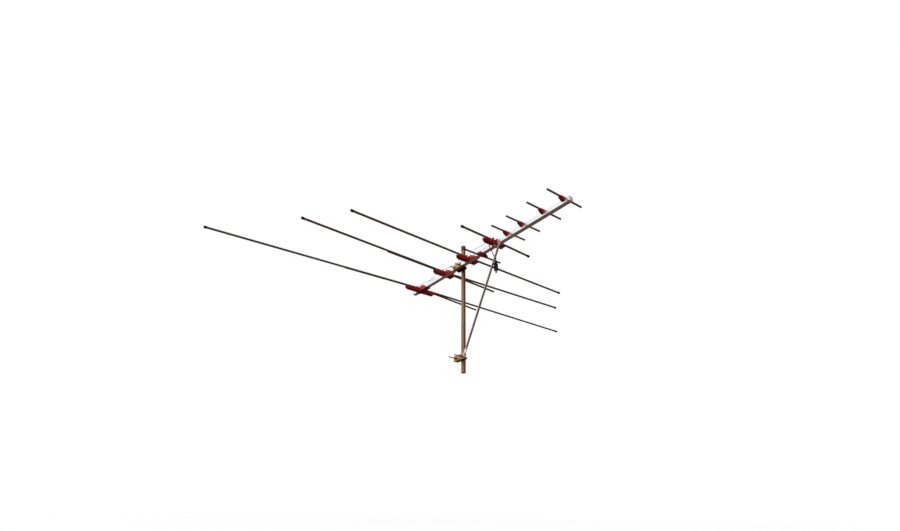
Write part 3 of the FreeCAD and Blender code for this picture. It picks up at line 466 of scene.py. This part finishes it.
def hexagon_piece(across, height, bore=None):
    """A hexagon with its corners turned down at both ends, and a bore where one is given."""
    piece = drum(across / math.sqrt(3.0), height, sides=6)
    trim = bevel(drum(across * 0.57, height, sides=48), across * 0.07, 2, 60.0)
    carve(piece, trim, "INTERSECT")
    if bore:
        carve(piece, drum(bore, height + 2.0, -1.0))
    return smooth(piece, 30.0)


def thread_rings(root, crest, start, end, pitch):
    """Profile points of a thread drawn as close rings, between two heights."""
    points = []
    count = int(abs(end - start) / pitch)
    step = (end - start) / count
    for i in range(count):
        points += [(root, start + i * step), (crest, start + (i + 0.5) * step)]
    return points + [(root, end)]


# Root and crest radius, pitch, and the radius and length of the turned-down end
TERMINAL_SHANK = (2.05, 2.4, 0.8, 1.7, 0.6)
BRACE_SHANK = (2.6, 3.0, 1.0, 2.2, 0.8)


def threaded_shank(sizes, start, length):
    """A bolt's shank from inside its head: plain up to a start, then threaded."""
    root, crest, pitch, end_radius, end_length = sizes
    rings = thread_rings(root, crest, start, length - end_length, pitch)
    return lathe("shank", [(0.0, 1.0), (root, 1.0)] + rings + [(end_radius, length), (0.0, length)], 20)


HUB_FOOT, HUB_TOP, HUB_TALL = 4.7, 3.9, 5.0
EAR_RADIUS, EAR_THICK, EAR_OUT, EAR_UP = 4.4, 2.3, 6.9, 6.4
WEB_SIZE, WEB_OUT, WEB_UP = (5.0, 2.0, 5.4), 4.2, 4.0
WING_BORE = 2.6


def wing_nut():
    """A tapered hub with two rounded ears, its seat at height 0."""
    hub = [(0.0, 0.0), (HUB_FOOT - 0.1, 0.0), (HUB_FOOT, 0.6), (HUB_TOP, HUB_TALL), (0.0, HUB_TALL)]
    piece = lathe("wing_nut", hub, 28)
    for side in (-1.0, 1.0):
        ear = bevel(drum(EAR_RADIUS, EAR_THICK, -EAR_THICK / 2, 28), 0.7, 2, 60.0)
        ear.matrix_world = (Matrix.Translation((side * EAR_OUT * MM, 0.0, EAR_UP * MM))
                            @ Matrix.Rotation(math.pi / 2, 4, "X"))
        settle(ear)
        carve(piece, block(*WEB_SIZE, side * WEB_OUT, WEB_UP), "UNION")
        carve(piece, ear, "UNION")
    carve(piece, drum(WING_BORE, 12.0, -1.0, 24))
    return smooth(bevel(piece, 0.25, 1, 40.0), 40.0)


def wing_turn(spots):
    """The direction of a wing nut's ears, from its outermost corners."""
    axis = middle_of(spots)
    far = max((spot - axis).xy.length for spot in spots)
    ears = [(spot - axis).xy for spot in spots if (spot - axis).xy.length > 0.9 * far]
    angles = [2.0 * math.atan2(ear.y, ear.x) for ear in ears]
    return 0.5 * math.atan2(sum(map(math.sin, angles)), sum(map(math.cos, angles)))


wing_places = []
for spots in solids_of("wing_nuts"):
    seat = middle_of(spots)
    seat.z = box_of(spots)[1].z
    wing_places.append((seat, Matrix.Rotation(wing_turn(spots), 3, "Z") @ DOWNWARD))
copies(wing_nut(), "wing_nuts", wing_places)

# The terminal bolts are all of one length
TERMINAL_ACROSS, TERMINAL_HEAD, TERMINAL_THREAD = 9.0, 3.2, 16.0
bolt_places = []
for spots in solids_of("terminal_bolts"):
    low, high = box_of(spots)
    top = middle_of(spots)
    top.z = high.z
    bolt_places.append((top, DOWNWARD))
    bolt_length = (high.z - low.z) / MM
terminal_shank = threaded_shank(TERMINAL_SHANK, bolt_length - TERMINAL_THREAD, bolt_length)
terminal_bolt = carve(hexagon_piece(TERMINAL_ACROSS, TERMINAL_HEAD), terminal_shank, "UNION")
copies(terminal_bolt, "terminal_bolts", bolt_places)


def screw_set(node, turn_of):
    """Pan-head screws in place of a group's solids, each turned by a rule of its box's upper corner."""
    for number, spots in enumerate(solids_of(node), start=1):
        low, high = box_of(spots)
        turn = turn_of(high)
        way = turn @ Vector((0.0, 0.0, 1.0))
        whole = max(high - low)
        seat = middle_of(spots) + way * (whole / 2 - HEAD_TALL * MM)
        twist = Matrix.Rotation(SCREW_TWIST * number, 3, "Z")
        copies(pan_screw(whole / MM - HEAD_TALL), node, [(seat, turn @ twist)], number)


boom_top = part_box("boom_tube")[1].z
screw_set("side_screws", lambda high: TO_LEFT)
screw_set("clip_screws", lambda high: UPRIGHT if high.z > boom_top else DOWNWARD)
screw_set("companion_screws", lambda high: UPRIGHT)

NUT_ACROSS, NUT_TALL, NUT_BORE = 10.0, 5.0, 3.05
for node in ("u_bolt_nuts", "brace_nuts"):
    nut_places = []
    for spots in solids_of(node):
        low, high = box_of(spots)
        size = high - low
        seat = middle_of(spots)
        if size.z < min(size.x, size.y):
            nut_places.append((Vector((seat.x, seat.y, low.z)), UPRIGHT))
        else:
            nut_places.append((Vector((low.x, seat.y, seat.z)), TO_RIGHT))
    copies(hexagon_piece(NUT_ACROSS, NUT_TALL, NUT_BORE), node, nut_places)

BRACE_ACROSS, BRACE_HEAD = 10.0, 4.0
for node in ("brace_top_bolt", "brace_foot_bolt"):
    low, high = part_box(node)
    shank = threaded_shank(BRACE_SHANK, BRACE_HEAD + 0.5, max(high - low) / MM)
    bolt = carve(hexagon_piece(BRACE_ACROSS, BRACE_HEAD), shank, "UNION")
    middle = (low + high) / 2
    copies(bolt, node, [(Vector((low.x, middle.y, middle.z)), TO_RIGHT)])

U_BOLT_TURNS, U_BOLT_PITCH, U_BOLT_ROOT = 32, 1.0, 0.86


def u_bolt_piece(low, high):
    """A bent rod round the mast's right side, its legs along X with threaded ends."""
    radius = (high.z - low.z) / 2
    span = high.y - low.y - 2 * radius
    level = (high.z + low.z) / 2
    bend_x = high.x - radius - span / 2
    bpy.ops.object.select_all(action="DESELECT")
    bpy.ops.mesh.primitive_circle_add(vertices=20, radius=radius, location=(bend_x, -span / 2, level),
                                      rotation=(0.0, math.pi / 2, 0.0))
    piece = settle(bpy.context.object)
    edit()
    bpy.ops.mesh.spin(steps=28, angle=math.pi, center=(bend_x, 0.0, level), axis=(0.0, 0.0, -1.0))
    leave()
    plain = bend_x - low.x - U_BOLT_TURNS * U_BOLT_PITCH * MM
    for side in (-1.0, 1.0):
        for corner in piece.data.vertices:
            corner.select = abs(corner.co.x - bend_x) < 0.01 * MM and corner.co.y * side > 0.0
        for edge in piece.data.edges:
            edge.select = all(piece.data.vertices[i].select for i in edge.vertices)
        for face in piece.data.polygons:
            face.select = False
        pick(piece)
        bpy.ops.object.mode_set(mode="EDIT")
        bpy.ops.mesh.select_mode(type="EDGE")
        bpy.ops.mesh.extrude_region_move(TRANSFORM_OT_translate={"value": (-plain, 0.0, 0.0)})
        centre = (0.0, side * span / 2, level)
        half_pitch = (-U_BOLT_PITCH / 2 * MM, 0.0, 0.0)
        for turn in range(U_BOLT_TURNS):
            for share in (U_BOLT_ROOT, 1.0 / U_BOLT_ROOT):
                bpy.ops.mesh.extrude_region_move(TRANSFORM_OT_translate={"value": half_pitch})
                bpy.ops.transform.resize(value=(1.0, share, share), center_override=centre)
        bpy.ops.mesh.edge_face_add()
        bpy.ops.mesh.select_mode(type="VERT")
        leave()
    pick(piece)
    edit()
    bpy.ops.mesh.normals_make_consistent(inside=False)
    leave()
    return smooth(piece, 30.0)


for node in ("boom_u_bolt", "brace_u_bolt"):
    piece = u_bolt_piece(*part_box(node))
    piece.name = "bent_" + node
    stand_for(piece, node)


# Turned and moulded round pieces
def round_size(node):
    """A round CAD node's height and radius in millimetres."""
    low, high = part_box(node)
    return (high.z - low.z) / MM, (high.x - low.x) / 2 / MM


def at_foot(piece, node):
    """Move a turned piece from the Z axis to the foot of a CAD node and let it stand there."""
    low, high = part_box(node)
    piece.location = ((low.x + high.x) / 2, (low.y + high.y) / 2, low.z)
    return stand_for(settle(piece), node)


CAP_BORE, CAP_TOP, CAP_DOME, CAP_RIM = 12.65, 2.5, 3.5, 0.5
cap_tall, cap_radius = round_size("mast_cap")
cap_skirt = cap_radius - CAP_RIM
cap_profile = [(0.0, cap_tall - CAP_TOP), (CAP_BORE, cap_tall - CAP_TOP), (CAP_BORE, 0.4), (13.0, 0.0),
               (cap_radius - 0.3, 0.0), (cap_radius, 0.4), (cap_radius, 2.6), (cap_skirt, 3.2),
               (cap_skirt, cap_tall - 6.0)]
for degrees in range(0, 91, 15):
    angle = math.radians(degrees)
    cap_profile.append((cap_radius - CAP_DOME + CAP_DOME * math.cos(angle),
                        cap_tall - CAP_DOME + CAP_DOME * math.sin(angle)))
cap_profile.append((0.0, cap_tall))
at_foot(smooth(lathe("domed_mast_cap", cap_profile, 40)), "mast_cap")

NECK_TALL, NECK_RINGS, RING_PITCH, RING_STEP = 9.0, 3, 2.6, 1.5
GROOVE_DEPTH, LOW_GROOVE, HIGH_GROOVE = 0.7, 8.0, 9.0
case_tall, case_radius = round_size("balun_case")
body_tall = case_tall - NECK_TALL
groove_floor = case_radius - GROOVE_DEPTH
case_profile = [(0.0, 0.0), (case_radius - 1.4, 0.0), (case_radius - 0.4, 0.7), (case_radius, 2.0)]
for level in (LOW_GROOVE, body_tall - HIGH_GROOVE):
    case_profile += [(case_radius, level), (groove_floor, level + 0.7), (groove_floor, level + 2.0),
                     (case_radius, level + 2.7)]
case_profile += [(case_radius, body_tall - 1.8), (case_radius - 1.2, body_tall)]
for ring in range(NECK_RINGS):
    foot = body_tall + 0.4 + RING_PITCH * ring
    outer = case_radius - 1.8 - RING_STEP * ring
    case_profile += [(outer - 0.9, foot), (outer, foot + 0.5), (outer - 0.3, foot + 1.7),
                     (outer - 1.3, foot + 2.2)]
case_profile += [(5.8, case_tall - 0.4), (5.4, case_tall), (0.0, case_tall)]
at_foot(smooth(lathe("ribbed_balun_case", case_profile, 36), 50.0), "balun_case")

SOCKET_ROOT, SOCKET_CREST, SOCKET_PITCH = 4.3, 4.75, 0.8
THREAD_FOOT, THREAD_TOP = 0.4, 9.6
HOLE_RADIUS, HOLE_DEPTH, MOUTH_RADIUS, MOUTH_DEPTH = 1.0, 7.0, 3.4, 1.2
FLANGE_ACROSS, FLANGE_TALL = 11.0, 3.0
socket_tall = round_size("balun_socket")[0]
barrel = [(0.0, HOLE_DEPTH), (HOLE_RADIUS, HOLE_DEPTH), (HOLE_RADIUS, MOUTH_DEPTH),
          (MOUTH_RADIUS, MOUTH_DEPTH), (3.6, 0.0), (4.1, 0.0)]
barrel += thread_rings(SOCKET_ROOT, SOCKET_CREST, THREAD_FOOT, THREAD_TOP, SOCKET_PITCH)
barrel += [(SOCKET_ROOT, socket_tall), (0.0, socket_tall)]
socket_piece = lathe("threaded_socket", barrel, 36)
flange = hexagon_piece(FLANGE_ACROSS, FLANGE_TALL)
flange.location.z = (socket_tall - FLANGE_TALL) * MM
carve(socket_piece, settle(flange), "UNION")
at_foot(smooth(socket_piece, 30.0), "balun_socket")

# Floor, light and camera
FLOOR_LEVEL, FLOOR_SIZE = -1.25, 80.0
WHITE = (1.0, 1.0, 1.0, 1.0)
bpy.ops.object.select_all(action="DESELECT")
bpy.ops.mesh.primitive_plane_add(size=FLOOR_SIZE, location=(0.0, 0.0, FLOOR_LEVEL))
floor = bpy.context.object
floor.name = "studio_floor"
floor_finish = Finish("pale_floor", Roughness=0.75, Emission_Color=WHITE, Emission_Strength=0.55)
floor_colour = floor_finish.blend(floor_finish.noise(0.8, 3.0), (0.9, 0.9, 0.9), (0.93, 0.93, 0.93))
floor_finish.feed(Base_Color=floor_colour)
floor.data.materials.append(floor_finish.material)
floor.visible_glossy = False
floor.visible_diffuse = False
floor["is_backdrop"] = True

# Studio: white behind the part; round it a bright wall on the left, dim ones elsewhere, dark warm ground
world = bpy.data.worlds.new("studio")
world.use_nodes = True
scene.world = world
studio = Nodes(world.node_tree)
way = studio.node("ShaderNodeTexCoord", out="Generated")
sideways, upwards = studio.along(way, "X"), studio.along(way, "Z")
walls = studio.blend(sideways.ramp(-0.38, 0.12), (1.0, 1.02, 1.06), (0.13, 0.112, 0.108))
sky = studio.blend(sideways.ramp(0.55, 0.68), walls, (0.28, 0.22, 0.2))
around = studio.blend(upwards.ramp(-0.1, 0.28), (0.118, 0.069, 0.047), sky)
room = studio.node("ShaderNodeBackground", None, {"Color": around})
backdrop = studio.node("ShaderNodeBackground", None, {"Color": WHITE})
seen = studio.node("ShaderNodeLightPath", out="Is Camera Ray")
shown = studio.node("ShaderNodeMixShader", None, {0: seen, 1: room, 2: backdrop})
studio.tree.links.new(shown.socket, studio.tree.nodes["World Output"].inputs["Surface"])


def soft_light(name, place, aim, size, power, colour):
    lamp = bpy.data.lights.new(name, "AREA")
    lamp.size = size
    lamp.energy = power
    lamp.color = colour
    holder = bpy.data.objects.new(name, lamp)
    scene.collection.objects.link(holder)
    holder.location = place
    holder.rotation_euler = (Vector(aim) - Vector(place)).to_track_quat("-Z", "Y").to_euler()
    holder.visible_camera = False
    holder.visible_glossy = False


LIGHT_AIM = (0.0, 0.0, 0.6)
soft_light("key_light", (-4.2, -1.6, 2.6), LIGHT_AIM, 2.6, 260.0, (1.0, 0.98, 0.95))
soft_light("fill_light", (3.0, -3.4, 1.2), LIGHT_AIM, 3.0, 25.0, (0.95, 0.97, 1.0))

IMAGE_WIDTH = 900
FOCAL_PIXELS = 463.4
CAMERA_PLACE = Vector((-1.5086, -1.9454, -0.6564))
YAW, PITCH, ROLL = (math.radians(angle) for angle in (35.916, 27.967, 0.844))
lens_way = Vector((math.sin(YAW) * math.cos(PITCH), math.cos(YAW) * math.cos(PITCH), math.sin(PITCH)))
level_right = Vector((math.cos(YAW), -math.sin(YAW), 0.0))
level_up = level_right.cross(lens_way)
right = level_right * math.cos(ROLL) + level_up * math.sin(ROLL)
up = level_up * math.cos(ROLL) - level_right * math.sin(ROLL)
camera_data = bpy.data.cameras.new("photo_camera")
camera_data.sensor_width = 36.0
camera_data.lens = FOCAL_PIXELS * camera_data.sensor_width / IMAGE_WIDTH
camera = bpy.data.objects.new("photo_camera", camera_data)
scene.collection.objects.link(camera)
turned = Matrix((right, up, -lens_way)).transposed()
camera.matrix_world = Matrix.Translation(CAMERA_PLACE) @ turned.to_4x4()
scene.camera = camera
scene.view_settings.view_transform = "Standard"

low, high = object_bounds()
